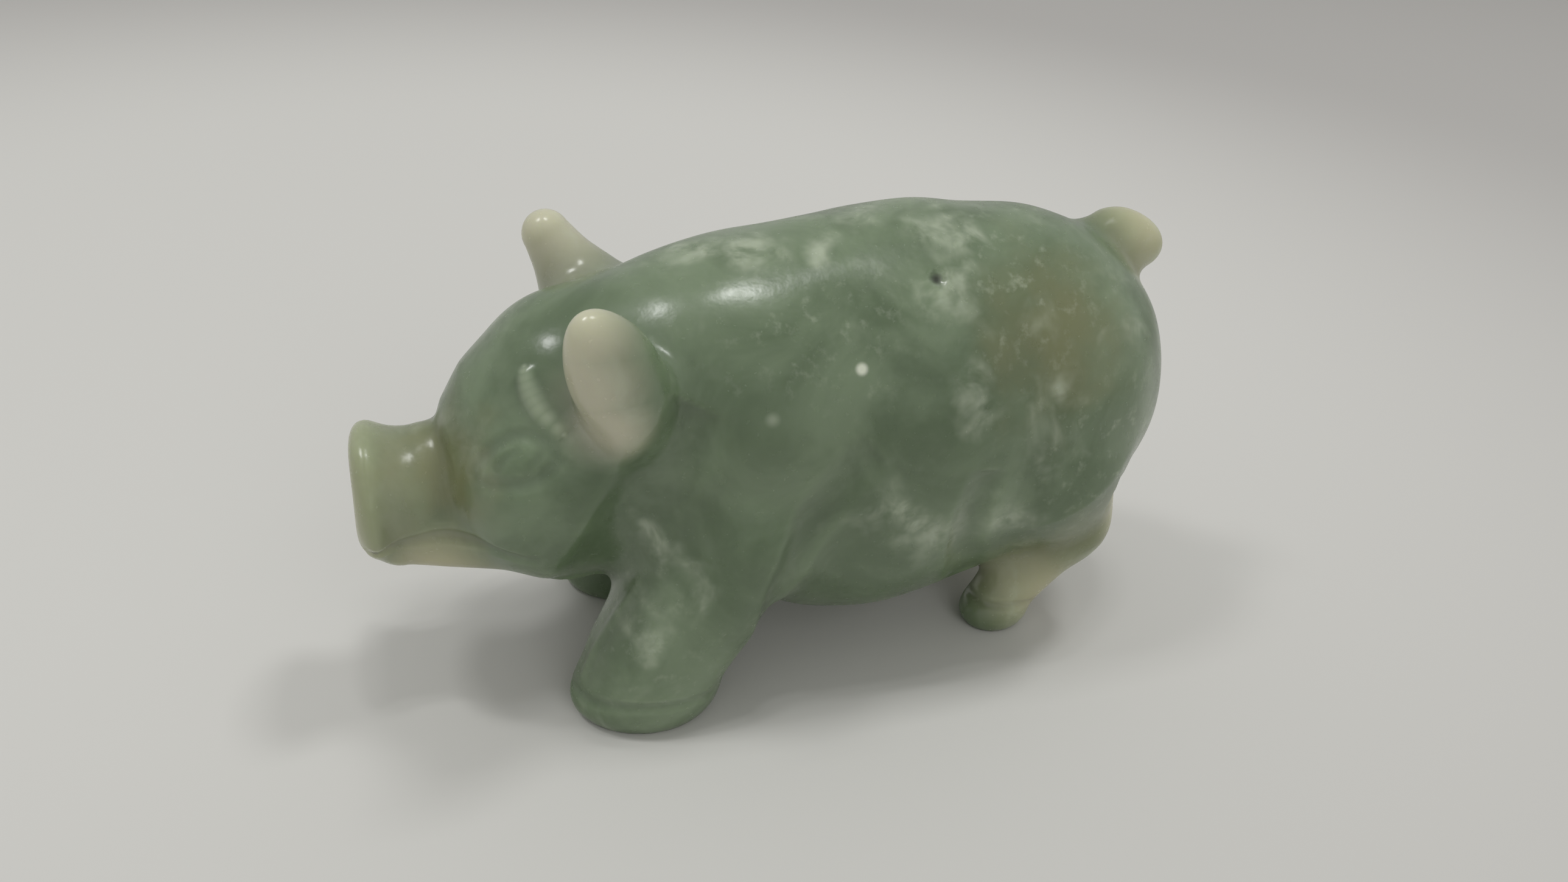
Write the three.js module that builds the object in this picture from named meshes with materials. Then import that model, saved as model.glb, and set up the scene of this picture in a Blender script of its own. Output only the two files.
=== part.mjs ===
// A small pig carved from a single piece of jade, standing on its four hooves.
//
// Units are millimetres, +Z is up and the floor is z = 0. The snout points to -Y, the tail to +Y and
// the pig's left flank to +X. The stone is described as a distance field, negative inside: rounded
// forms are melted together with smooth unions, as a carver rounds over a blank, soft grooves mark
// the folds, and the floor cuts the soles flat. The field is then faceted into one closed mesh.

import * as THREE from "three";

// ---------------------------------------------------------------- driving dimensions

const SNOUT_FACE_Y = -45.0;    // flat front of the snout
const FACET = 2.0;             // grid step of the faceted surface
const RELAXING_ROUNDS = 3;     // times the facets are evened out
const SETTLING_STEPS = 3;      // steps that bring a vertex back onto the exact surface
const SOLE_RIM = 0.7;          // vertices closer to the floor than this are pressed flat onto it
const BLANK = { low: [-24, -50, -5.5], high: [24, 52, 56] };   // space that holds the stone

const JADE_COLOUR = 0x7f8c74;

// How softly one form melts into the next, as the width of the rounded seam.
const SEAM = { body: 6, belly: 2, jaw: 2, brow: 3, neck: 3, limb: 3, hoof: 2, ear: 3, tail: 2.2 };

// Each form has its centre or ends, and its radii. Paired forms are given for the +X side.
const BARREL = { centre: [0, 12.5, 27.3], radii: [17.3, 33.0, 23.3], pitch: 3 };
const HAUNCHES = { centre: [0, 28.5, 29.5], radii: [15, 15.1, 17.6] };
const SHOULDERS = { centre: [0, -8, 29.6], radii: [15, 19, 17.6] };
const POT_BELLY = { centre: [0, 8, 17.5], radii: [15.6, 19, 13.5] };
const BELLY_Z = 5.2;           // the belly is dressed flat, this high above the floor

const SKULL = { centre: [0, -21.3, 28.0], radii: [12.8, 14.0, 15.9] };
const BROW_BRIDGE = { from: [0, -29.4, 29.8], to: [0, -34.0, 26.6], radii: [7.0, 5.0] };
const CHEEK = { centre: [4.5, -26, 25.2], radii: [8.6, 9.5, 9.5] };
const MUZZLE = { from: [0, -33, 22.4], to: [0, -43, 24.2], radii: [6.6, 6.1] };
const SNOUT_DISC = { centre: [0, -43.4, 24.0], radii: [7.3, 1.9, 6.6] };
const LOWER_JAW = { from: [0, -26, 20.6], to: [0, -41, 18.1], radii: [7.6, 2.9], widen: 1.33 };

// The left ear is the fuller one: the carver left more stone there.
const LEFT_EAR = { centre: [12.7, -20.4, 39.5], radii: [3.6, 4.4, 9.1], pitch: 24, lean: 8 };
const RIGHT_EAR = { tip: [-14.0, -22.9, 44.6], middle: [-11.8, -18.6, 37.6], root: [-10.5, -18.0, 31.5],
                    radii: [2.6, 4.4, 3.0] };

const FORELEG = { from: [9.5, -8, 20], to: [11.2, -16.8, 6], radii: [8.6, 7.2] };
const FORE_HOOF = { centre: [11.3, -18.0, 2], radii: [5.8, 8.0, 4.2] };
const RIGHT_STEP = 3.0;        // the right foreleg stands this much farther back than the left

const THIGH = { from: [8.5, 29, 22], to: [8.2, 33.4, 14.5], radii: [9, 5.6] };
const SHANK = { from: [8.2, 33.8, 14], to: [8.3, 27.4, 4], radii: [5.0, 3.4] };
const HIND_HOOF = { centre: [8.3, 26.2, 1.6], radii: [3.6, 4.0, 2.8] };

const TAIL_ROOT = { from: [-0.3, 34.5, 40], to: [-0.6, 38.6, 44.2], radii: [4.0, 3.2] };
const TAIL_KNOB = { centre: [-0.6, 40.1, 44.9], radii: [3.4, 5.3, 3.5], pitch: -14 };

// The larger folds: points that a soft groove passes through, its half width and its depth.
const FOLDS = [
  // behind the cheek
  { through: [[13.6, -13.6, 37.5], [13.8, -16.2, 32.6], [13.6, -18.4, 28.0], [12.8, -21.0, 23.2],
    [10.6, -23.2, 17.5], [7.0, -24.0, 14.0]], halfWidth: 4.4, depth: 1.6 },
  // behind the shoulder and the foreleg
  { through: [[16.6, 4.2, 32.0], [16.6, 0.4, 28.4], [16.6, -2.4, 23.0], [16.4, -4.4, 18.6],
    [14.6, -6.0, 13.0], [11.0, -7.0, 9.0]], halfWidth: 3.0, depth: 0.9 },
  // in front of the thigh
  { through: [[16.8, 17.0, 28.0], [16.6, 16.2, 23.0], [15.6, 16.6, 17.4], [13.0, 18.4, 13.2],
    [9.0, 20.0, 10.0]], halfWidth: 3.0, depth: 1.1 },
  // above the hock, at the back
  { through: [[2.0, 41.0, 20.4], [8.0, 40.2, 20.4], [12.4, 37.6, 20.4], [14.4, 34.6, 20.6]],
    halfWidth: 3.0, depth: 1.8 },
];

// ---------------------------------------------------------------- distance-field forms

const turn = (a, b, degrees) => {
  const angle = THREE.MathUtils.degToRad(degrees);
  return [a * Math.cos(angle) + b * Math.sin(angle), b * Math.cos(angle) - a * Math.sin(angle)];
};

// pitch lifts the +Y end, lean tips the top towards +X, both in degrees.
function ellipsoid([px, py, pz], { centre, radii, pitch = 0, lean = 0 }) {
  let x = px - centre[0];
  let [y, z] = turn(py - centre[1], pz - centre[2], pitch);
  [z, x] = turn(z, x, lean);
  const scaled = Math.hypot(x / radii[0], y / radii[1], z / radii[2]);
  const slope = Math.hypot(x / radii[0] ** 2, y / radii[1] ** 2, z / radii[2] ** 2);
  return scaled * (scaled - 1) / Math.max(slope, 1e-6);
}

// A round bar from one end to the other, thicker at one of them.
function taper([px, py, pz], from, to, fromRadius, toRadius) {
  const axis = to.map((value, i) => value - from[i]);
  const offset = [px - from[0], py - from[1], pz - from[2]];
  const dot = axis[0] * offset[0] + axis[1] * offset[1] + axis[2] * offset[2];
  const t = THREE.MathUtils.clamp(dot / (axis[0] ** 2 + axis[1] ** 2 + axis[2] ** 2), 0, 1);
  const gap = Math.hypot(...offset.map((value, i) => value - t * axis[i]));
  return gap - THREE.MathUtils.lerp(fromRadius, toRadius, t);
}

const bar = (point, { from, to, radii }) => taper(point, from, to, radii[0], radii[1]);

function join(a, b, seam) {
  const h = THREE.MathUtils.clamp(0.5 + 0.5 * (b - a) / seam, 0, 1);
  return THREE.MathUtils.lerp(b, a, h) - seam * h * (1 - h);
}

const keepInside = (a, b, seam) => -join(-a, -b, seam);

// ---------------------------------------------------------------- the pig

function torso(point) {
  const rear = join(ellipsoid(point, BARREL), ellipsoid(point, HAUNCHES), SEAM.body);
  const trunk = join(rear, ellipsoid(point, SHOULDERS), SEAM.body);
  const body = join(trunk, ellipsoid(point, POT_BELLY), SEAM.belly);
  return keepInside(body, BELLY_Z - point[2], SEAM.belly);
}

function head(point, paired) {
  const jawPoint = [point[0] / LOWER_JAW.widen, point[1], point[2]];
  let form = join(ellipsoid(point, SKULL), ellipsoid(paired, CHEEK), SEAM.brow);
  form = join(form, bar(point, BROW_BRIDGE), SEAM.brow);
  form = join(form, bar(point, MUZZLE), SEAM.jaw);
  form = join(form, ellipsoid(point, SNOUT_DISC), SEAM.jaw);
  form = join(form, bar(jawPoint, LOWER_JAW), SEAM.jaw);
  return keepInside(form, SNOUT_FACE_Y - point[1], 1);
}

function rightEar(point) {
  const { tip, middle, root, radii } = RIGHT_EAR;
  const upper = taper(point, tip, middle, radii[0], radii[1]);
  const lower = taper(point, middle, root, radii[1], radii[2]);
  return join(upper, lower, SEAM.ear);
}

const foreleg = (point) => join(bar(point, FORELEG), ellipsoid(point, FORE_HOOF), SEAM.limb);

function hindLeg(paired) {
  const leg = join(bar(paired, THIGH), bar(paired, SHANK), SEAM.hoof);
  return join(leg, ellipsoid(paired, HIND_HOOF), SEAM.hoof);
}

const tail = (point) => join(ellipsoid(point, TAIL_KNOB), bar(point, TAIL_ROOT), SEAM.tail);

function smoothStone(x, y, z) {
  const point = [x, y, z];
  const paired = [Math.abs(x), y, z];
  let stone = join(torso(point), head(point, paired), SEAM.neck);
  stone = join(stone, ellipsoid(point, LEFT_EAR), SEAM.ear);
  stone = join(stone, rightEar(point), SEAM.ear);
  stone = join(stone, foreleg(point), SEAM.limb);
  stone = join(stone, foreleg([-x, y - RIGHT_STEP, z]), SEAM.limb);
  stone = join(stone, hindLeg(paired), SEAM.limb);
  return join(stone, tail(point), SEAM.tail);
}

// A groove lies on the stone: its smooth line is settled onto the surface before it is cut.
const grooves = FOLDS.map(({ through, halfWidth, depth }) => {
  const curve = new THREE.CatmullRomCurve3(through.map((corner) => new THREE.Vector3(...corner)));
  const line = curve.getPoints(6 * (through.length - 1));
  line.forEach((onLine) => settle(smoothStone, onLine));
  return { line, halfWidth, depth, reach: new THREE.Box3().setFromPoints(line).expandByScalar(halfWidth) };
});

// How much stone a groove takes away at a point. It fades towards both ends of its line.
function grooveDepth(at, { line, halfWidth, depth, reach }) {
  if (!reach.containsPoint(at)) return 0;
  let gap = halfWidth;
  let reached = 0;
  for (let i = 0; i + 1 < line.length; i += 1) {
    const span = new THREE.Line3(line[i], line[i + 1]);
    const t = span.closestPointToPointParameter(at, true);
    const distance = span.at(t, new THREE.Vector3()).distanceTo(at);
    if (distance < gap) [gap, reached] = [distance, i + t];
  }
  const fade = Math.sqrt(Math.max(Math.sin(Math.PI * reached / (line.length - 1)), 0));
  return depth * fade * (1 - (gap / halfWidth) ** 2) ** 2;
}

function pigField(x, y, z) {
  const at = new THREE.Vector3(Math.abs(x), y, z);
  const cut = grooves.reduce((total, groove) => total + grooveDepth(at, groove), 0);
  return Math.max(smoothStone(x, y, z) + cut, -z);
}

// ---------------------------------------------------------------- faceting

function gradient(field, x, y, z) {
  const e = 0.05;
  const slope = new THREE.Vector3(
    field(x + e, y, z) - field(x - e, y, z),
    field(x, y + e, z) - field(x, y - e, z),
    field(x, y, z + e) - field(x, y, z - e));
  return slope.divideScalar(2 * e);
}

// A grid cell's corners, its twelve edges as pairs of corners, and the edges around its six faces.
const CORNERS = [0, 1, 2, 3, 4, 5, 6, 7].map((n) => [n & 1, (n >> 1) & 1, (n >> 2) & 1]);
const EDGES = [0, 1, 2].flatMap((axis) => CORNERS.flatMap((corner, n) => (
  corner[axis] === 0 ? [{ axis, from: n, to: n + (1 << axis) }] : [])));
const FACES = [0, 1, 2].flatMap((axis) => [0, 1].map((side) => EDGES.flatMap((edge, n) => (
  [edge.from, edge.to].every((corner) => CORNERS[corner][axis] === side) ? [n] : []))));

// Groups a cell's crossed edges into the separate sheets of surface that pass through it. Where a
// face is crossed four times, its two inside corners are kept apart, so the mesh never pinches.
function sheetsInCell(inside) {
  const sheet = EDGES.map((_, n) => n);
  const merge = (a, b) => {
    const old = sheet[b];
    sheet.forEach((value, n) => { if (value === old) sheet[n] = sheet[a]; });
  };
  const isCrossed = (n) => inside[EDGES[n].from] !== inside[EDGES[n].to];
  for (const face of FACES) {
    const crossed = face.filter(isCrossed);
    for (const a of crossed) {
      for (const b of crossed) {
        const corners = [EDGES[a].from, EDGES[a].to];
        const shared = [EDGES[b].from, EDGES[b].to].find((corner) => corners.includes(corner));
        if (a < b && (crossed.length === 2 || inside[shared])) merge(a, b);
      }
    }
  }
  return EDGES.map((_, n) => (isCrossed(n) ? sheet[n] : -1));
}

// Dual contouring of the field on a grid: each sheet of surface in a cell gets one vertex, at the
// mean of its crossings, and each crossed grid edge gets one four-sided facet.
function facet(field, low, high, step) {
  const count = low.map((value, i) => Math.ceil((high[i] - value) / step) + 1);
  const nodeIndex = ([i, j, k]) => i + count[0] * (j + count[1] * k);
  const forEachNode = (margin, visit) => {
    for (let k = margin; k < count[2] - margin; k += 1) {
      for (let j = margin; j < count[1] - margin; j += 1) {
        for (let i = margin; i < count[0] - margin; i += 1) visit([i, j, k]);
      }
    }
  };
  const offset = (node, by) => node.map((value, i) => value + by[i]);
  const values = new Float64Array(count[0] * count[1] * count[2]);
  forEachNode(0, (node) => {
    values[nodeIndex(node)] = field(...node.map((value, i) => low[i] + value * step));
  });

  const vertices = [];
  const vertexOnEdge = new Map();
  const edgeKey = (node, edge) => nodeIndex(node) * EDGES.length + edge;
  forEachNode(1, (node) => {
    const cornerValues = CORNERS.map((corner) => values[nodeIndex(offset(node, corner))]);
    const inside = cornerValues.map((value) => value < 0);
    if (inside.every((value) => value === inside[0])) return;
    const sheets = sheetsInCell(inside);
    for (const sheet of new Set(sheets.filter((value) => value >= 0))) {
      const crossings = EDGES.flatMap(({ from, to }, n) => {
        if (sheets[n] !== sheet) return [];
        vertexOnEdge.set(edgeKey(node, n), vertices.length);
        const t = cornerValues[from] / (cornerValues[from] - cornerValues[to]);
        return [new THREE.Vector3(...CORNERS[from]).lerp(new THREE.Vector3(...CORNERS[to]), t)];
      });
      const middle = new THREE.Vector3();
      crossings.forEach((crossing) => middle.addScaledVector(crossing, 1 / crossings.length));
      middle.add(new THREE.Vector3(...node)).multiplyScalar(step);
      vertices.push(middle.add(new THREE.Vector3(...low)));
    }
  });

  const triangles = [];
  forEachNode(2, (node) => {
    for (let axis = 0; axis < 3; axis += 1) {
      const here = values[nodeIndex(node)];
      const there = values[nodeIndex(offset(node, CORNERS[1 << axis]))];
      if ((here < 0) === (there < 0)) continue;
      const u = 1 << ((axis + 1) % 3);
      const v = 1 << ((axis + 2) % 3);
      const ring = [0, u, u + v, v].map((corner) => {
        const cell = node.map((value, i) => value - CORNERS[corner][i]);
        const edge = EDGES.findIndex((candidate) => candidate.axis === axis && candidate.from === corner);
        return vertexOnEdge.get(edgeKey(cell, edge));
      });
      if (here >= 0) ring.reverse();
      addFacet(vertices, triangles, ring);
    }
  });
  for (let round = 0; round < RELAXING_ROUNDS; round += 1) relax(field, vertices, triangles);
  return { vertices, triangles };
}

// Moves every vertex half way to the middle of its neighbours, and then back onto the surface.
function relax(field, vertices, triangles) {
  const sums = vertices.map(() => new THREE.Vector3());
  const counts = new Array(vertices.length).fill(0);
  triangles.forEach((from, corner) => {
    const next = corner % 3 === 2 ? corner - 2 : corner + 1;
    sums[from].add(vertices[triangles[next]]);
    counts[from] += 1;
  });
  vertices.forEach((vertex, i) => {
    vertex.lerp(sums[i].divideScalar(counts[i]), 0.5);
    settle(field, vertex);
  });
}

// Moves a vertex onto the surface along the field's slope.
function settle(field, vertex) {
  for (let step = 0; step < SETTLING_STEPS; step += 1) {
    const slope = gradient(field, vertex.x, vertex.y, vertex.z);
    const error = field(vertex.x, vertex.y, vertex.z);
    vertex.addScaledVector(slope, -error / Math.max(slope.lengthSq(), 0.25));
  }
}

// Splits a four-sided facet along its shorter diagonal.
function addFacet(vertices, triangles, [a, b, c, d]) {
  const acrossAC = vertices[a].distanceTo(vertices[c]);
  const acrossBD = vertices[b].distanceTo(vertices[d]);
  if (acrossAC <= acrossBD) triangles.push(a, b, c, a, c, d);
  else triangles.push(a, b, d, b, c, d);
}

// ---------------------------------------------------------------- the solid, with flat soles

function carvedStone() {
  const { vertices, triangles } = facet(pigField, BLANK.low, BLANK.high, FACET);
  for (const vertex of vertices) {
    if (vertex.z < SOLE_RIM) vertex.z = 0;
  }
  const geometry = new THREE.BufferGeometry().setFromPoints(vertices);
  geometry.setIndex(triangles);
  geometry.computeVertexNormals();
  return geometry;
}

// The snout, rump and hooves decide the stone's box, so the origin is set under its middle.
function centredOverOrigin(geometry) {
  geometry.computeBoundingBox();
  const middle = geometry.boundingBox.getCenter(new THREE.Vector3());
  geometry.translate(-middle.x, -middle.y, 0);
  return geometry;
}

const jade = new THREE.MeshStandardMaterial({ color: JADE_COLOUR, roughness: 0.35, metalness: 0 });
const pig = new THREE.Mesh(centredOverOrigin(carvedStone()), jade);
pig.name = "carved_pig";

const figurine = new THREE.Group();
figurine.add(pig);

export default figurine;
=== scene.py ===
"""A small pig carved from one piece of mottled jade, standing on a pale table.

The CAD solid gives the pig's place and size. Here the same forms are melted together on a fine grid,
and the carver's marks are added: eyes, brows, mouth, nostrils, folds, hoof lines and the tail's curl.
The sculpting is in millimetres, in the carver's frame, and the finished mesh is moved to metres.
"""
import math

import bpy
import numpy as np
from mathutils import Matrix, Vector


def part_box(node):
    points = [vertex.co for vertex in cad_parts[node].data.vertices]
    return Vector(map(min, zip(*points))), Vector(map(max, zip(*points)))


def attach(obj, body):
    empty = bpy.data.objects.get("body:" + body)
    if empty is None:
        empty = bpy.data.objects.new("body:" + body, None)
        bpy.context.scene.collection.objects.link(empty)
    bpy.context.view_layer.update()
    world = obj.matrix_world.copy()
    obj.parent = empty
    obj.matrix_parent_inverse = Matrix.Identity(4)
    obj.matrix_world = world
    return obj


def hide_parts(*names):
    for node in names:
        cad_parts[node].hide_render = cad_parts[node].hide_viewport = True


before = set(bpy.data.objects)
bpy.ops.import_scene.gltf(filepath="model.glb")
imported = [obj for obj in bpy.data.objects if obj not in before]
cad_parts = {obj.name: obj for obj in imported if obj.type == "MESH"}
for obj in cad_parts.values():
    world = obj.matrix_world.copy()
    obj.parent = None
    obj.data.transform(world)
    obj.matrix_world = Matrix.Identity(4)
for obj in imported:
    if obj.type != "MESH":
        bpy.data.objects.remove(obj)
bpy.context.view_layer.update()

import openvdb
from mathutils import Quaternion, Vector

MM = 0.001

# ------------------------------------------------------------------ driving dimensions, millimetres

GRID = 0.42                 # step of the fine grid
COARSE = 4                  # fine steps in one coarse step, for the first pass
BAND = 3.2                  # depth around the surface where the fine grid is worked out
SETTLING_STEPS = 3          # steps that bring each vertex onto the exact surface
SLOPE_STEP = 0.05           # half the gap over which the field's slope is measured
LEAST_SLOPE = 0.25          # squared slopes below this count as this, so that no step runs away
BLANK_LOW = (-22.0, -49.0, -4.0)
BLANK_HIGH = (22.0, 51.0, 55.0)

SNOUT_FACE_Y = -45.0        # flat front of the snout
BELLY_Z = 5.2               # the belly is dressed flat, this high above the floor
SHIFT_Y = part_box("carved_pig")[0].y / MM - SNOUT_FACE_Y    # carver's frame to the CAD frame

# How softly one form melts into the next, as the width of the rounded seam.
SEAM = {"body": 6, "belly": 2, "jaw": 2, "brow": 3, "neck": 3, "limb": 3, "hoof": 2, "ear": 3,
        "tail": 2.2, "snout": 1, "dish": 0.8}

# Paired forms are given for the +X side.
BARREL = {"centre": (0, 12.5, 27.3), "radii": (17.3, 33.0, 23.3), "pitch": 3}
HAUNCHES = {"centre": (0, 28.5, 29.5), "radii": (15, 15.1, 17.6)}
SHOULDERS = {"centre": (0, -8, 29.6), "radii": (15, 19, 17.6)}
POT_BELLY = {"centre": (0, 8, 17.5), "radii": (15.6, 19, 13.5)}

SKULL = {"centre": (0, -21.3, 28.0), "radii": (12.8, 14.0, 15.9)}
CHEEK = {"centre": (4.5, -26, 25.2), "radii": (8.6, 9.5, 9.5)}
BROW_BRIDGE = ((0, -29.4, 29.8), (0, -34.0, 26.6), 7.0, 5.0)
MUZZLE = ((0, -33, 22.4), (0, -43, 24.2), 6.6, 6.1)
SNOUT_DISC = {"centre": (0, -43.4, 24.0), "radii": (7.3, 1.9, 6.6)}
SNOUT_DISH = {"centre": (0, -49.5, 24.4), "radii": (6.4, 5.0, 6.0)}
LOWER_JAW = ((0, -26, 20.6), (0, -41, 18.1), 7.6, 2.9)
JAW_WIDENING = 1.33

LEFT_EAR = {"centre": (12.7, -20.4, 39.5), "radii": (3.6, 4.4, 9.1), "pitch": 24, "lean": 8}
RIGHT_EAR = ((-14.0, -22.9, 44.6), (-11.8, -18.6, 37.6), (-10.5, -18.0, 31.5), (2.6, 4.4, 3.0))

FORELEG = ((9.5, -8, 20), (11.2, -16.8, 6), 8.6, 7.2)
FORE_HOOF = {"centre": (11.3, -18.0, 2), "radii": (5.8, 8.0, 4.2)}
RIGHT_STEP = 3.0            # the right foreleg stands this much farther back than the left
THIGH = ((8.5, 29, 22), (8.2, 33.4, 14.5), 9, 5.6)
SHANK = ((8.2, 33.8, 14), (8.3, 27.4, 4), 5.0, 3.4)
HIND_HOOF = {"centre": (8.3, 26.2, 1.6), "radii": (3.6, 4.0, 2.8)}

TAIL_ROOT = ((-0.3, 34.5, 40), (-0.6, 38.6, 44.2), 4.0, 3.2)
TAIL_KNOB = {"centre": (-0.6, 40.1, 44.9), "radii": (3.4, 5.3, 3.5), "pitch": -14}

# The carver's marks: the points a smooth line passes through, its half width and its depth.
# A negative depth is a raised line. Every mark is made on both sides, here for the +X side.
MARKS = {
    "brow": (((6.6, -28.5, 39.6), (7.9, -28.3, 38.0), (9.4, -27.6, 36.4), (11.4, -25.6, 34.4)),
             1.3, -0.6),
    "upper_lid": (((8.3, -34.2, 29.0), (8.4, -33.0, 31.3), (9.2, -30.8, 33.5), (10.2, -28.5, 34.1),
                   (11.8, -26.0, 32.9)), 1.1, 0.3),
    "lower_lid": (((8.3, -34.2, 29.0), (10.2, -32.2, 29.2), (12.0, -29.2, 30.1), (12.2, -27.0, 31.6),
                   (11.8, -26.0, 32.9)), 1.1, 0.3),
    "eyeball": (((9.6, -31.8, 31.2), (10.8, -30.0, 31.8), (11.6, -28.2, 32.4)), 2.4, -0.2),
    "pupil_front": (((9.8, -32.0, 30.2), (9.8, -30.8, 31.8), (10.4, -29.4, 33.2)), 0.8, 0.15),
    "pupil_back": (((11.5, -29.8, 30.6), (11.5, -28.6, 31.8), (11.2, -27.6, 33.0)), 0.8, 0.15),
    "mouth": (((5.0, -43.8, 20.6), (5.2, -40.8, 20.7), (6.2, -37.6, 21.4), (7.4, -35.0, 21.2),
               (9.4, -33.2, 21.2), (11.4, -30.8, 20.8), (12.4, -28.4, 20.4)), 1.2, 0.55),
    "mouth_corner": (((3.0, -43.6, 19.8), (4.4, -43.4, 20.2), (5.6, -43.0, 20.6)), 0.9, 0.5),
    "muzzle_crease": (((0.0, -36.6, 31.0), (3.4, -36.8, 30.2), (6.4, -37.0, 27.0), (7.4, -37.0, 23.2)),
                      2.0, 0.4),
    "jowl": (((13.6, -13.6, 37.5), (13.8, -16.2, 32.6), (13.6, -18.4, 28.0), (12.8, -21.0, 23.2),
              (10.6, -23.2, 17.5), (7.0, -24.0, 14.0)), 4.4, 1.6),
    "shoulder": (((16.6, 4.2, 32.0), (16.6, 0.4, 28.4), (16.6, -2.4, 23.0), (16.4, -4.4, 18.6),
                  (14.6, -6.0, 13.0), (11.0, -7.0, 9.0)), 3.0, 0.9),
    "flank_fold": (((16.8, 17.0, 28.0), (16.6, 16.2, 23.0), (15.6, 16.6, 17.4), (13.0, 18.4, 13.2),
                    (9.0, 20.0, 10.0)), 3.0, 1.2),
    "hock_fold": (((2.0, 41.0, 20.4), (8.0, 40.2, 20.4), (12.4, 37.6, 20.4), (14.4, 34.6, 20.6)),
                  3.0, 1.8),
    "foreleg_edge": (((12.8, -18.4, 17.6), (12.2, -21.6, 12.1), (11.9, -24.0, 7.1), (12.2, -24.9, 4.6)),
                     1.0, -0.3),
    "hind_hoof": (((6.0, 23.6, 3.6), (10.0, 23.8, 3.8), (11.6, 26.8, 4.2), (10.4, 29.8, 4.4)),
                  0.8, 0.35),
    "tail_curl": (((1.4, 36.4, 47.2), (2.8, 37.6, 45.8), (3.6, 39.0, 44.0), (3.2, 41.0, 42.4)),
                  1.4, 0.2),
    "nostril": (((2.5, -45.0, 23.4), (2.5, -45.0, 24.4), (2.5, -45.0, 25.4)), 1.3, 1.2),
}
FORE_HOOF_LINE = (((9.0, -25.6, 3.4), (13.4, -24.4, 3.6), (17.0, -20.6, 4.6), (17.6, -15.6, 4.8),
                   (16.0, -11.8, 4.0)), 0.9, 0.35)
BACK_PIT = (((9.2, 11.2, 46.8), (9.7, 11.9, 46.6), (10.2, 12.6, 46.4)), 0.9, 0.6)    # a natural flaw
STEPS_PER_CORNER = 6        # points of a mark's smooth line from one corner to the next

RIPPLE = 0.07               # height of the slow unevenness left by hand polishing
RIPPLE_PITCH = (0.62, 0.48, 0.55)               # radians of wave per millimetre along x, y and z


# ------------------------------------------------------------------ distance-field forms

def turn(a, b, degrees):
    """Turns the coordinate pair (a, b) by an angle."""
    c, s = math.cos(math.radians(degrees)), math.sin(math.radians(degrees))
    return a * c + b * s, b * c - a * s


def ellipsoid(p, centre, radii, pitch=0, lean=0):
    """Pitch lifts the +Y end and lean tips the top towards +X, both in degrees."""
    x, y, z = (p[i] - centre[i] for i in range(3))
    if pitch:
        y, z = turn(y, z, pitch)
    if lean:
        z, x = turn(z, x, lean)
    scaled = np.sqrt((x / radii[0]) ** 2 + (y / radii[1]) ** 2 + (z / radii[2]) ** 2)
    slope = np.sqrt((x / radii[0] ** 2) ** 2 + (y / radii[1] ** 2) ** 2 + (z / radii[2] ** 2) ** 2)
    return scaled * (scaled - 1) / np.maximum(slope, 1e-6)


def along(p, start, end):
    """How far along a straight line each point lies, 0 at its start and 1 at its end."""
    axis = [end[i] - start[i] for i in range(3)]
    reach = sum(axis[i] * (p[i] - start[i]) for i in range(3))
    return np.clip(reach / sum(a * a for a in axis), 0, 1)


def bar(p, start, end, start_radius, end_radius):
    """A round bar from one end to the other, thicker at one of them."""
    t = along(p, start, end)
    gap = np.sqrt(sum((p[i] - start[i] - t * (end[i] - start[i])) ** 2 for i in range(3)))
    return gap - (start_radius + (end_radius - start_radius) * t)


def join(a, b, seam):
    """Both forms as one, melted together over the seam."""
    h = np.clip(0.5 + 0.5 * (b - a) / seam, 0, 1)
    return b + (a - b) * h - seam * h * (1 - h)


def keep_inside(a, b, seam):
    """Only what lies in both forms, with the cut edge rounded over the seam."""
    return -join(-a, -b, seam)


def hollow(stone, tool, seam):
    """The stone without the tool's shape."""
    return keep_inside(stone, -tool, seam)


# ------------------------------------------------------------------ the pig's forms

def torso(p):
    body = join(ellipsoid(p, **BARREL), ellipsoid(p, **HAUNCHES), SEAM["body"])
    body = join(body, ellipsoid(p, **SHOULDERS), SEAM["body"])
    body = join(body, ellipsoid(p, **POT_BELLY), SEAM["belly"])
    return keep_inside(body, BELLY_Z - p[2], SEAM["belly"])


def head(p, paired):
    form = join(ellipsoid(p, **SKULL), ellipsoid(paired, **CHEEK), SEAM["brow"])
    form = join(form, bar(p, *BROW_BRIDGE), SEAM["brow"])
    form = join(form, bar(p, *MUZZLE), SEAM["jaw"])
    form = join(form, ellipsoid(p, **SNOUT_DISC), SEAM["jaw"])
    form = join(form, bar((p[0] / JAW_WIDENING, p[1], p[2]), *LOWER_JAW), SEAM["jaw"])
    form = keep_inside(form, SNOUT_FACE_Y - p[1], SEAM["snout"])
    return hollow(form, ellipsoid(p, **SNOUT_DISH), SEAM["dish"])


def right_ear(p):
    tip, middle, root, radii = RIGHT_EAR
    upper = bar(p, tip, middle, radii[0], radii[1])
    lower = bar(p, middle, root, radii[1], radii[2])
    return join(upper, lower, SEAM["ear"])


def foreleg(p):
    return join(bar(p, *FORELEG), ellipsoid(p, **FORE_HOOF), SEAM["limb"])


def hind_leg(paired):
    leg = join(bar(paired, *THIGH), bar(paired, *SHANK), SEAM["hoof"])
    return join(leg, ellipsoid(paired, **HIND_HOOF), SEAM["hoof"])


def tail(p):
    return join(ellipsoid(p, **TAIL_KNOB), bar(p, *TAIL_ROOT), SEAM["tail"])


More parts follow.
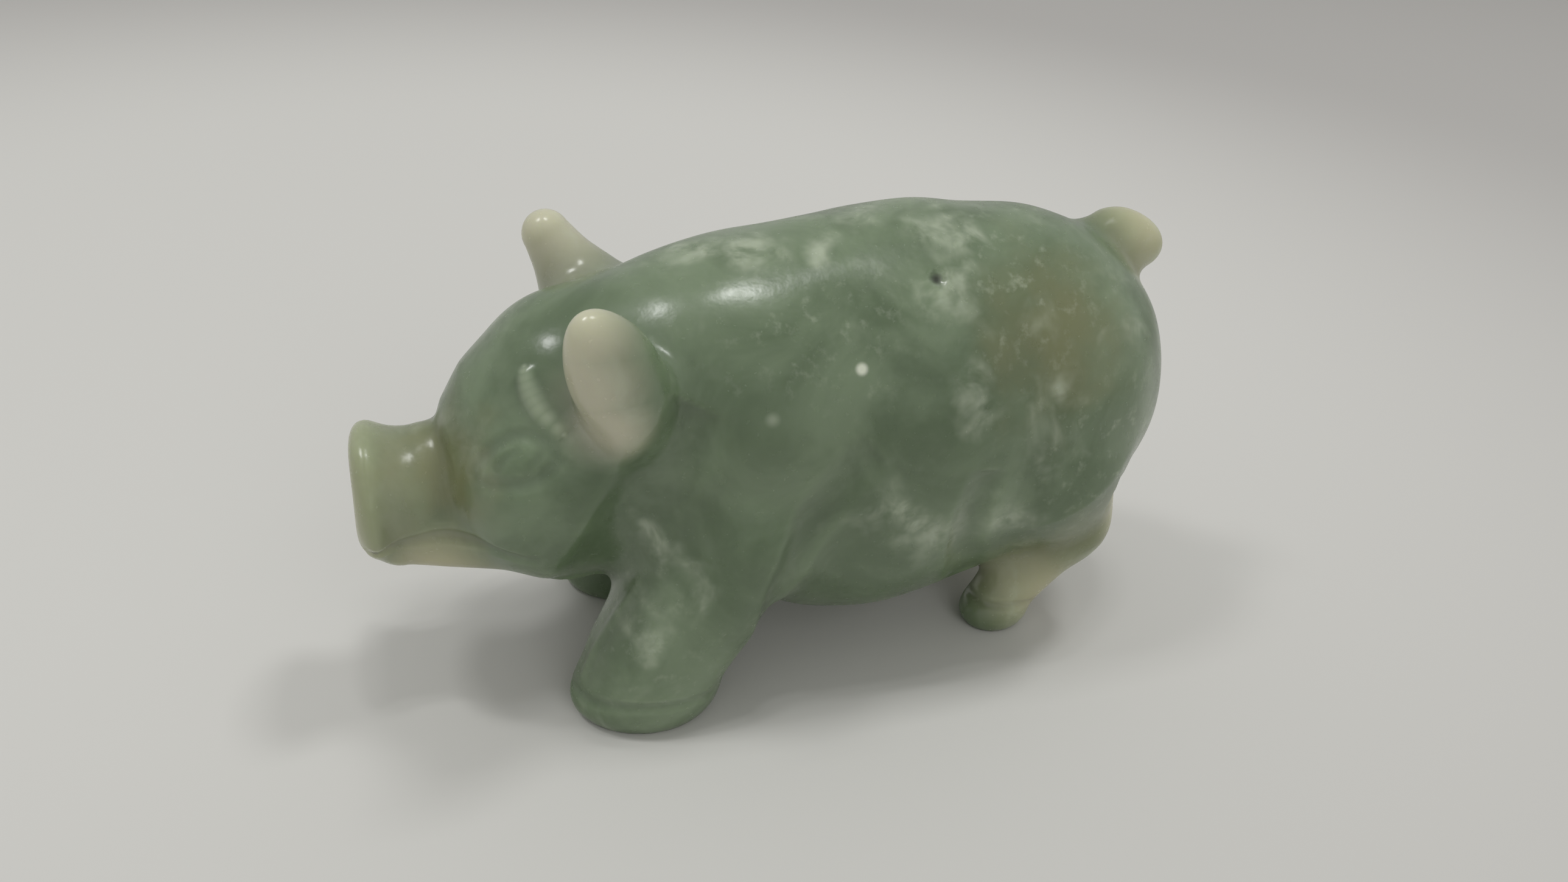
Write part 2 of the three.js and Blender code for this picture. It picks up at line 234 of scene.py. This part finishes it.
def smooth_stone(x, y, z):
    """Distance to the stone's surface before the marks are cut, negative inside."""
    p, paired = (x, y, z), (np.abs(x), y, z)
    stone = join(torso(p), head(p, paired), SEAM["neck"])
    stone = join(stone, ellipsoid(p, **LEFT_EAR), SEAM["ear"])
    stone = join(stone, right_ear(p), SEAM["ear"])
    stone = join(stone, foreleg(p), SEAM["limb"])
    stone = join(stone, foreleg((-x, y - RIGHT_STEP, z)), SEAM["limb"])
    stone = join(stone, hind_leg(paired), SEAM["limb"])
    stone = join(stone, tail(p), SEAM["tail"])
    waves = [np.sin(p[i] * RIPPLE_PITCH[i] + i) for i in range(3)]
    return stone + RIPPLE * (waves[0] * waves[1] + waves[1] * waves[2])


# ------------------------------------------------------------------ the carver's marks

def settle(points, field):
    """Moves points onto a field's surface along its slope."""
    e = SLOPE_STEP
    for _ in range(SETTLING_STEPS):
        x, y, z = points.T
        slope = np.stack([
            field(x + e, y, z) - field(x - e, y, z),
            field(x, y + e, z) - field(x, y - e, z),
            field(x, y, z + e) - field(x, y, z - e)], 1) / (2 * e)
        step = field(x, y, z) / np.maximum((slope ** 2).sum(1), LEAST_SLOPE)
        points = points - slope * step[:, None]
    return points


def smooth_line(corners):
    """A smooth curve through the corners, laid on the stone's surface."""
    c = np.array([corners[0], *corners, corners[-1]], float)
    t = np.arange(STEPS_PER_CORNER)[:, None] / STEPS_PER_CORNER
    spans = []
    for a, b, d, e in zip(c, c[1:], c[2:], c[3:]):
        cubic = 3 * b - a - 3 * d + e
        square = 2 * a - 5 * b + 4 * d - e
        spans.append(b + t * ((d - a) + t * (square + t * cubic)) / 2)
    return settle(np.concatenate([*spans, c[-1:]]), smooth_stone)


def press(stone, p, line, half_width, depth):
    """Presses a rounded groove into the stone along a line, fading towards its two ends."""
    low, high = line.min(0) - half_width, line.max(0) + half_width
    near = np.nonzero(np.logical_and.reduce([(p[i] > low[i]) & (p[i] < high[i]) for i in range(3)]))
    close = [axis[near] for axis in p]
    gap = np.full(close[0].shape, half_width)
    reached = np.zeros(close[0].shape)
    for i, (start, end) in enumerate(zip(line[:-1], line[1:])):
        t = along(close, start, end)
        distance = np.sqrt(sum((close[k] - start[k] - t * (end[k] - start[k])) ** 2 for k in range(3)))
        reached = np.where(distance < gap, i + t, reached)
        gap = np.minimum(gap, distance)
    fade = np.sqrt(np.sin(math.pi * reached / (len(line) - 1)).clip(0))
    stone[near] += depth * fade * (1 - (gap / half_width) ** 2) ** 2


MARK_LINES = [(smooth_line(corners), width, depth) for corners, width, depth in MARKS.values()]
PIT_LINE = smooth_line(BACK_PIT[0])
HOOF_LINE = smooth_line(FORE_HOOF_LINE[0])


def pig_field(x, y, z):
    """Distance to the finished surface, negative inside."""
    stone = smooth_stone(x, y, z)
    paired = (np.abs(x), y, z)
    for line, half_width, depth in MARK_LINES:
        press(stone, paired, line, half_width, depth)
    press(stone, (x, y, z), PIT_LINE, *BACK_PIT[1:])
    press(stone, (x, y, z), HOOF_LINE, *FORE_HOOF_LINE[1:])
    press(stone, (-x, y - RIGHT_STEP, z), HOOF_LINE, *FORE_HOOF_LINE[1:])
    return np.maximum(stone, -z)


# ------------------------------------------------------------------ meshing

def field_on_grid():
    """The field on the fine grid, exact near the surface and copied from a coarse grid elsewhere."""
    low, high = np.array(BLANK_LOW), np.array(BLANK_HIGH)
    count = np.ceil((high - low) / GRID / COARSE).astype(int) * COARSE
    axes = [low[i] + GRID * np.arange(count[i]) for i in range(3)]
    middle = GRID * (COARSE - 1) / 2
    coarse_axes = [axis[::COARSE] + middle for axis in axes]
    coarse = pig_field(*np.meshgrid(*coarse_axes, indexing="ij"))
    values = coarse.repeat(COARSE, 0).repeat(COARSE, 1).repeat(COARSE, 2)
    near = np.nonzero(np.abs(values) < BAND)
    values[near] = pig_field(*(axes[i][near[i]] for i in range(3)))
    return values.astype(np.float32)


def carve_pig():
    grid = openvdb.FloatGrid(BAND)
    grid.copyFromArray(field_on_grid())
    points, quads = grid.convertToQuads(isovalue=0.0)
    points = settle(points * GRID + np.array(BLANK_LOW), pig_field)
    points[:, 2] = np.maximum(points[:, 2], 0)
    points[:, 1] += SHIFT_Y
    mesh = bpy.data.meshes.new("jade_pig")
    mesh.from_pydata((points * MM).tolist(), [], quads.tolist())
    mesh.shade_smooth()
    pig = bpy.data.objects.new("jade_pig", mesh)
    bpy.context.scene.collection.objects.link(pig)
    return pig


# ------------------------------------------------------------------ materials

# Soft patches of colour in the stone, in millimetres in the CAD frame: centre and radius. Clear
# patches hold less haze. Some of them are painted light: the glow of light through thin parts, and one
# glint.
CLOUDS = [((16.2, 14.0, 35.6), 4.5), ((17.0, 6.7, 25.1), 5.5), ((17.0, 11.5, 20.5), 6.0),
          ((16.2, 20.6, 20.9), 5.0), ((12.9, -18.2, 22.3), 4.0), ((15.8, -19.2, 13.7), 4.0),
          ((2.0, -6.0, 48.6), 5.0), ((5.5, 1.0, 48.4), 3.5), ((10.0, 12.4, 45.5), 4.4),
          ((5.0, 14.0, 49.0), 5.0), ((14.5, 24.0, 36.0), 4.5), ((0.0, -12.0, 47.5), 5.0),
          ((-1.0, 6.0, 50.6), 5.5), ((-12.0, 20.0, 36.0), 8.0), ((-15.0, -8.0, 22.0), 7.0),
          ((-15.0, 4.0, 34.0), 6.0)]
SPECKS = [((13.95, 2.2, 39.6), 0.85)]
# Faint pale specks in the stone; the small one at the left eye is a painted glint of light.
FAINT_SPECKS_AND_GLINT = [((15.0, -7.0, 35.7), 1.0), ((13.9, -14.6, 34.0), 0.9), ((12.2, -29.7, 29.9), 0.5),
                ((-14.0, 9.0, 39.0), 1.0)]
GRAINY = [((9.0, 20.0, 44.0), 17.0), ((15.0, 30.0, 28.0), 16.0), ((12.0, -2.0, 44.0), 13.0),
          ((-9.0, 20.0, 44.0), 17.0), ((12.0, -16.0, 12.0), 12.0)]
OLIVE = [((4.0, -36.0, 28.0), 9.0), ((13.0, 24.0, 41.0), 13.0), ((9.0, 33.0, 14.0), 13.0),
         ((-9.0, 33.0, 14.0), 13.0)]
# Painted glow: honey colour where light shining through the thin snout, jaw, tail, hooves and hocks lightens
# them.
PAINTED_GLOW_PATCHES = [((0.0, -47.0, 23.5), 13.0), ((3.0, -38.0, 17.0), 9.0), ((-0.6, 41.0, 45.5), 8.7),
                 ((8.5, 30.0, 6.0), 10.5), ((-8.5, 30.0, 6.0), 10.5), ((9.5, 38.0, 16.0), 7.0)]
# Cream tint of both ear tips, partly the stone's colour and partly a painted glow of light through the thin
# ears.
CREAM_AND_GLOW_PATCHES = [((15.0, -27.0, 46.5), 9.5), ((15.5, -26.0, 41.0), 8.5), ((15.0, -23.5, 36.5), 6.5),
         ((-14.6, -24.6, 48.0), 14.0)]
CLEAR = [((17.0, -3.0, 32.0), 13.0), ((17.0, 7.0, 36.0), 9.0), ((12.0, -28.0, 28.0), 12.0)]
BROW_HIGHLIGHT_HALF_WIDTH = 1.7            # half width of the painted highlight streak along the brow
PITS = [((9.7, 11.3, 46.6), 0.8), ((4.6, -44.2, 20.0), 0.9)]

# Colours of the polished stone, linear, with the colours of the painted glow and highlights.
DEEP_GREEN = (0.110, 0.158, 0.086, 1)
MID_GREEN = (0.190, 0.250, 0.155, 1)
# White of the clouds, also used for the painted brow highlight and eye glint.
CLOUD_AND_HIGHLIGHT_WHITE = (0.52, 0.57, 0.45, 1)
SPECK_WHITE = (0.66, 0.69, 0.58, 1)
OLIVE_BROWN = (0.185, 0.200, 0.100, 1)
# Painted glow of light passing through thin parts.
PAINTED_GLOW_HONEY = (0.50, 0.475, 0.315, 1)
# Cream of the ear tips, partly a painted glow of light through the thin ears.
EAR_CREAM_AND_GLOW = (0.50, 0.485, 0.375, 1)
PIT_DARK = (0.02, 0.022, 0.015, 1)

# How white each kind of mottling and each painted highlight is at its strongest, and then how far all of it
# reaches full white.
HAZE_STRENGTH = 0.7
FAINT_SPECK_AND_GLINT_STRENGTH = 0.5
BROW_HIGHLIGHT_STRENGTH = 0.6
GRAIN_STRENGTH = 0.55
WHITE_STRENGTH = 0.70

# Fineness of each pattern in the stone, in waves per metre.
WANDER_FINENESS = 170.0
VEIN_FINENESS = 75.0
BILLOW_FINENESS = 260.0
HAZE_FINENESS = 110.0
GRAIN_FINENESS = 620.0
POLISH_FINENESS = 900.0
WANDER_REACH = 0.012        # metres by which ragged patches stray from round
POLISH_DEPTH = 0.0002       # metres

# The table: its colours, linear, and where it is lightest, in metres. The fall from light to dim is a
# painted pool of lamp light.
TABLE_PAINTED_LIT = (0.60, 0.595, 0.570, 1)
TABLE_PAINTED_DIM = (0.42, 0.41, 0.395, 1)
PAINTED_LIGHT_POOL_CENTRE = (-0.12, -0.03, 0.0)
PAINTED_LIGHT_POOL_INNER_RADIUS = 0.10
PAINTED_LIGHT_POOL_OUTER_RADIUS = 0.36
TABLE_ROUGHNESS = 0.7

# How the stone handles light: its refraction, its polish and how deep light goes in, in metres.
STONE_IOR = 1.6
SMOOTHEST, ROUGHEST = 0.18, 0.32
GLOW_COLOUR = (0.9, 1.0, 0.7)
GLOW_DEPTH = 0.004


class NodeSheet:
    """Short ways to place and wire the shader nodes used here."""

    def __init__(self, name):
        self.material = bpy.data.materials.new(name)
        self.material.use_nodes = True
        self.tree = self.material.node_tree
        self.shader = self.tree.nodes["Principled BSDF"]

    def add(self, kind, inputs=None, **settings):
        node = self.tree.nodes.new(kind)
        for key, value in settings.items():
            setattr(node, key, value)
        for socket, value in (inputs or {}).items():
            if isinstance(value, bpy.types.NodeSocket):
                self.tree.links.new(value, node.inputs[socket])
            else:
                node.inputs[socket].default_value = value
        return node

    def noise(self, place, per_metre, detail=3.0, roughness=0.55, distortion=0.0):
        return self.add("ShaderNodeTexNoise", {
            "Vector": place, "Scale": per_metre, "Detail": detail,
            "Roughness": roughness, "Distortion": distortion}).outputs["Fac"]

    def fade(self, value, start, end):
        """0 below start and 1 above end, or the reverse when start is the larger."""
        return self.add("ShaderNodeMapRange", {
            "Value": value, "From Min": start, "From Max": end}, interpolation_type="SMOOTHSTEP").outputs[0]

    def math(self, operation, a, b):
        return self.add("ShaderNodeMath", {0: a, 1: b}, operation=operation).outputs[0]

    def vector(self, operation, a, b):
        return self.add("ShaderNodeVectorMath", {0: a, 1: b}, operation=operation).outputs[0]

    def distance(self, place, middle):
        return self.add("ShaderNodeVectorMath", {0: place, 1: middle}, operation="DISTANCE").outputs["Value"]

    def mix(self, amount, under, over):
        node = self.add("ShaderNodeMix", {"Factor": amount}, data_type="RGBA")
        for socket, value in ((6, under), (7, over)):
            if isinstance(value, bpy.types.NodeSocket):
                self.tree.links.new(value, node.inputs[socket])
            else:
                node.inputs[socket].default_value = value
        return node.outputs[2]

    def patches(self, place, spots, soft):
        """Where the spots lie: 1 at their middles, fading over the outer part given by soft."""
        total = None
        for centre, radius in spots:
            distance = self.distance(place, tuple(value * MM for value in centre))
            spot = self.fade(distance, radius * MM, radius * (1 - soft) * MM)
            total = spot if total is None else self.math("MAXIMUM", total, spot)
        return total

    def wire(self, socket, value):
        self.tree.links.new(value, self.shader.inputs[socket])


def painted_brow_highlight_spots():
    """A row of overlapping spots along the left brow, small at its ends: one painted highlight streak where
    the brow ridge catches the light.
    """
    line = smooth_line(MARKS["brow"][0])[::2]
    return [((x, y + SHIFT_Y, z), BROW_HIGHLIGHT_HALF_WIDTH * math.sin(math.pi * (i + 1) / (len(line) + 1)))
            for i, (x, y, z) in enumerate(line.tolist())]


def jade_material():
    sheet = NodeSheet("mottled_jade")
    place = sheet.add("ShaderNodeTexCoord").outputs["Object"]
    wander = sheet.add("ShaderNodeTexNoise", {
        "Vector": place, "Scale": WANDER_FINENESS, "Detail": 3.0}).outputs["Color"]
    offset = sheet.vector("SUBTRACT", wander, (0.5, 0.5, 0.5))
    shift = sheet.add("ShaderNodeVectorMath", {
        0: offset, "Scale": WANDER_REACH}, operation="SCALE").outputs[0]
    ragged = sheet.vector("ADD", place, shift)

    veins = sheet.fade(sheet.noise(place, VEIN_FINENESS, 4.0, 0.6, 0.6), 0.34, 0.68)
    colour = sheet.mix(veins, DEEP_GREEN, MID_GREEN)
    colour = sheet.mix(sheet.patches(ragged, OLIVE, 0.95), colour, OLIVE_BROWN)
    colour = sheet.mix(sheet.patches(place, PAINTED_GLOW_PATCHES, 0.95), colour, PAINTED_GLOW_HONEY)
    colour = sheet.mix(sheet.patches(place, CREAM_AND_GLOW_PATCHES, 0.75), colour, EAR_CREAM_AND_GLOW)

    billows = sheet.fade(sheet.noise(place, BILLOW_FINENESS, 3.5, 0.6, 0.4), 0.30, 0.66)
    cloud = sheet.math("MULTIPLY", sheet.patches(ragged, CLOUDS, 1.0), billows)
    haze = sheet.fade(sheet.noise(place, HAZE_FINENESS, 3.5, 0.62, 0.5), 0.52, 0.80)
    haze = sheet.math("MULTIPLY", haze, billows)
    cloudy = sheet.math("SUBTRACT", 1.0, sheet.patches(ragged, CLEAR, 0.8))
    haze = sheet.math("MULTIPLY", haze, cloudy)
    grains = sheet.fade(sheet.noise(place, GRAIN_FINENESS, 3.0, 0.6), 0.52, 0.82)
    grains = sheet.math("MULTIPLY", grains, sheet.patches(ragged, GRAINY, 0.8))
    grains = sheet.math("MULTIPLY", grains, GRAIN_STRENGTH)
    haze = sheet.math("MULTIPLY", haze, HAZE_STRENGTH)
    whiteness_and_highlights = sheet.math("MAXIMUM", sheet.math("MAXIMUM", cloud, haze), grains)
    faint_specks_and_glint = sheet.math("MULTIPLY", sheet.patches(place, FAINT_SPECKS_AND_GLINT, 0.9), FAINT_SPECK_AND_GLINT_STRENGTH)
    whiteness_and_highlights = sheet.math("MAXIMUM", whiteness_and_highlights, faint_specks_and_glint)
    # Painted highlight along the brow ridge.
    brow_highlight = sheet.math("MULTIPLY", sheet.patches(place, painted_brow_highlight_spots(), 1.0), BROW_HIGHLIGHT_STRENGTH)
    whiteness_and_highlights = sheet.math("MAXIMUM", whiteness_and_highlights, brow_highlight)
    colour = sheet.mix(sheet.math("MULTIPLY", whiteness_and_highlights, WHITE_STRENGTH), colour, CLOUD_AND_HIGHLIGHT_WHITE)
    colour = sheet.mix(sheet.patches(place, SPECKS, 0.7), colour, SPECK_WHITE)
    colour = sheet.mix(sheet.patches(place, PITS, 0.7), colour, PIT_DARK)

    sheet.wire("Base Color", colour)
    polish = sheet.noise(place, POLISH_FINENESS, 2.0)
    sheet.wire("Roughness", sheet.add("ShaderNodeMapRange", {
        "Value": polish, "To Min": SMOOTHEST, "To Max": ROUGHEST}).outputs[0])
    sheet.wire("Normal", sheet.add("ShaderNodeBump", {
        "Height": polish, "Strength": 0.12, "Distance": POLISH_DEPTH}).outputs["Normal"])
    sheet.shader.inputs["IOR"].default_value = STONE_IOR
    sheet.shader.inputs["Specular IOR Level"].default_value = 0.5
    sheet.shader.inputs["Subsurface Weight"].default_value = 1.0
    sheet.shader.inputs["Subsurface Radius"].default_value = GLOW_COLOUR
    sheet.shader.inputs["Subsurface Scale"].default_value = GLOW_DEPTH
    return sheet.material


def table_material():
    """A pale table with a painted pool of light: lightest around one spot beside the pig, dimmer farther
    out.
    """
    sheet = NodeSheet("pale_table")
    place = sheet.add("ShaderNodeTexCoord").outputs["Object"]
    # Painted pool of light: lighter near one spot, dimmer farther out.
    painted_light_falloff = sheet.fade(sheet.distance(place, PAINTED_LIGHT_POOL_CENTRE), PAINTED_LIGHT_POOL_INNER_RADIUS, PAINTED_LIGHT_POOL_OUTER_RADIUS)
    sheet.wire("Base Color", sheet.mix(painted_light_falloff, TABLE_PAINTED_LIT, TABLE_PAINTED_DIM))
    sheet.shader.inputs["Roughness"].default_value = TABLE_ROUGHNESS
    return sheet.material


# ------------------------------------------------------------------ floor, lights and camera

TABLE_HALF_WIDTH = 1.5      # metres
LAMP_DISTANCE = 1.2         # metres from the pig to every lamp

# Each lamp's direction seen from the pig, its two sides in metres, its power in watts, and whether
# the polish mirrors it.
LAMPS = {
    "lamp_ahead": ((-0.10, -0.44, 0.88), (0.20, 0.20), 2.0, True),
    "lamp_behind": ((-0.08, 0.36, 0.93), (0.20, 0.20), 2.8, False),
    "lamp_over": ((0.0, -0.01, 1.0), (0.06, 0.18), 1.1, True),
    "lamp_over_rear": ((0.06, 0.05, 1.0), (0.05, 0.08), 0.7, True),
    "window": ((0.85, 0.15, 0.50), (0.90, 0.60), 2.0, False),
}
ROOM_COLOUR = (1.0, 0.995, 0.97, 1)
ROOM_STRENGTH = 0.49

# The camera looks from the pig's left, a little ahead of its middle, and steeply down.
CAMERA_PLACE = (0.1048, -0.0394 + SHIFT_Y * MM, 0.0896)
CAMERA_LENS = 26.55
CAMERA_NEAR = 0.005         # metres
CAMERA_YAW = 20.9           # degrees from straight across the pig towards its tail
CAMERA_PITCH = 30.4         # degrees down
CAMERA_ROLL = 4.1           # degrees anticlockwise


def make_floor():
    half = TABLE_HALF_WIDTH
    mesh = bpy.data.meshes.new("table_top")
    corners = [(-half, -half, 0), (half, -half, 0), (half, half, 0), (-half, half, 0)]
    mesh.from_pydata(corners, [], [(0, 1, 2, 3)])
    floor = bpy.data.objects.new("table_top", mesh)
    floor.data.materials.append(table_material())
    bpy.context.scene.collection.objects.link(floor)
    return floor


def add_lamp(name, direction, size, power, is_mirrored):
    """A rectangular lamp LAMP_DISTANCE from the pig, facing it, mirrored in the polish or not."""
    light = bpy.data.lights.new(name, "AREA")
    light.shape = "RECTANGLE"
    light.size, light.size_y = size
    light.energy = power
    lamp = bpy.data.objects.new(name, light)
    lamp.visible_glossy = is_mirrored
    lamp.location = Vector(direction).normalized() * LAMP_DISTANCE
    lamp.rotation_mode = "QUATERNION"
    lamp.rotation_quaternion = Vector((0, 0, 1)).rotation_difference(lamp.location)
    bpy.context.scene.collection.objects.link(lamp)


def make_lights():
    for name, (direction, size, power, is_mirrored) in LAMPS.items():
        add_lamp(name, direction, size, power, is_mirrored)
    world = bpy.data.worlds.new("room")
    world.use_nodes = True
    background = world.node_tree.nodes["Background"]
    background.inputs["Color"].default_value = ROOM_COLOUR
    background.inputs["Strength"].default_value = ROOM_STRENGTH
    bpy.context.scene.world = world
    bpy.context.scene.view_settings.view_transform = "Standard"


def make_camera():
    camera = bpy.data.objects.new("camera", bpy.data.cameras.new("camera"))
    camera.data.lens = CAMERA_LENS
    camera.data.clip_start = CAMERA_NEAR
    camera.location = CAMERA_PLACE
    yaw, pitch = math.radians(CAMERA_YAW), math.radians(CAMERA_PITCH)
    forward = Vector((-math.cos(yaw) * math.cos(pitch), math.sin(yaw) * math.cos(pitch), -math.sin(pitch)))
    camera.rotation_mode = "QUATERNION"
    roll = Quaternion((0, 0, 1), math.radians(CAMERA_ROLL))
    camera.rotation_quaternion = forward.to_track_quat("-Z", "Y") @ roll
    bpy.context.scene.collection.objects.link(camera)
    bpy.context.scene.camera = camera


make_camera()
make_lights()
make_floor()
pig = carve_pig()
pig.data.materials.append(jade_material())
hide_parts("carved_pig")
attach(pig, "root")
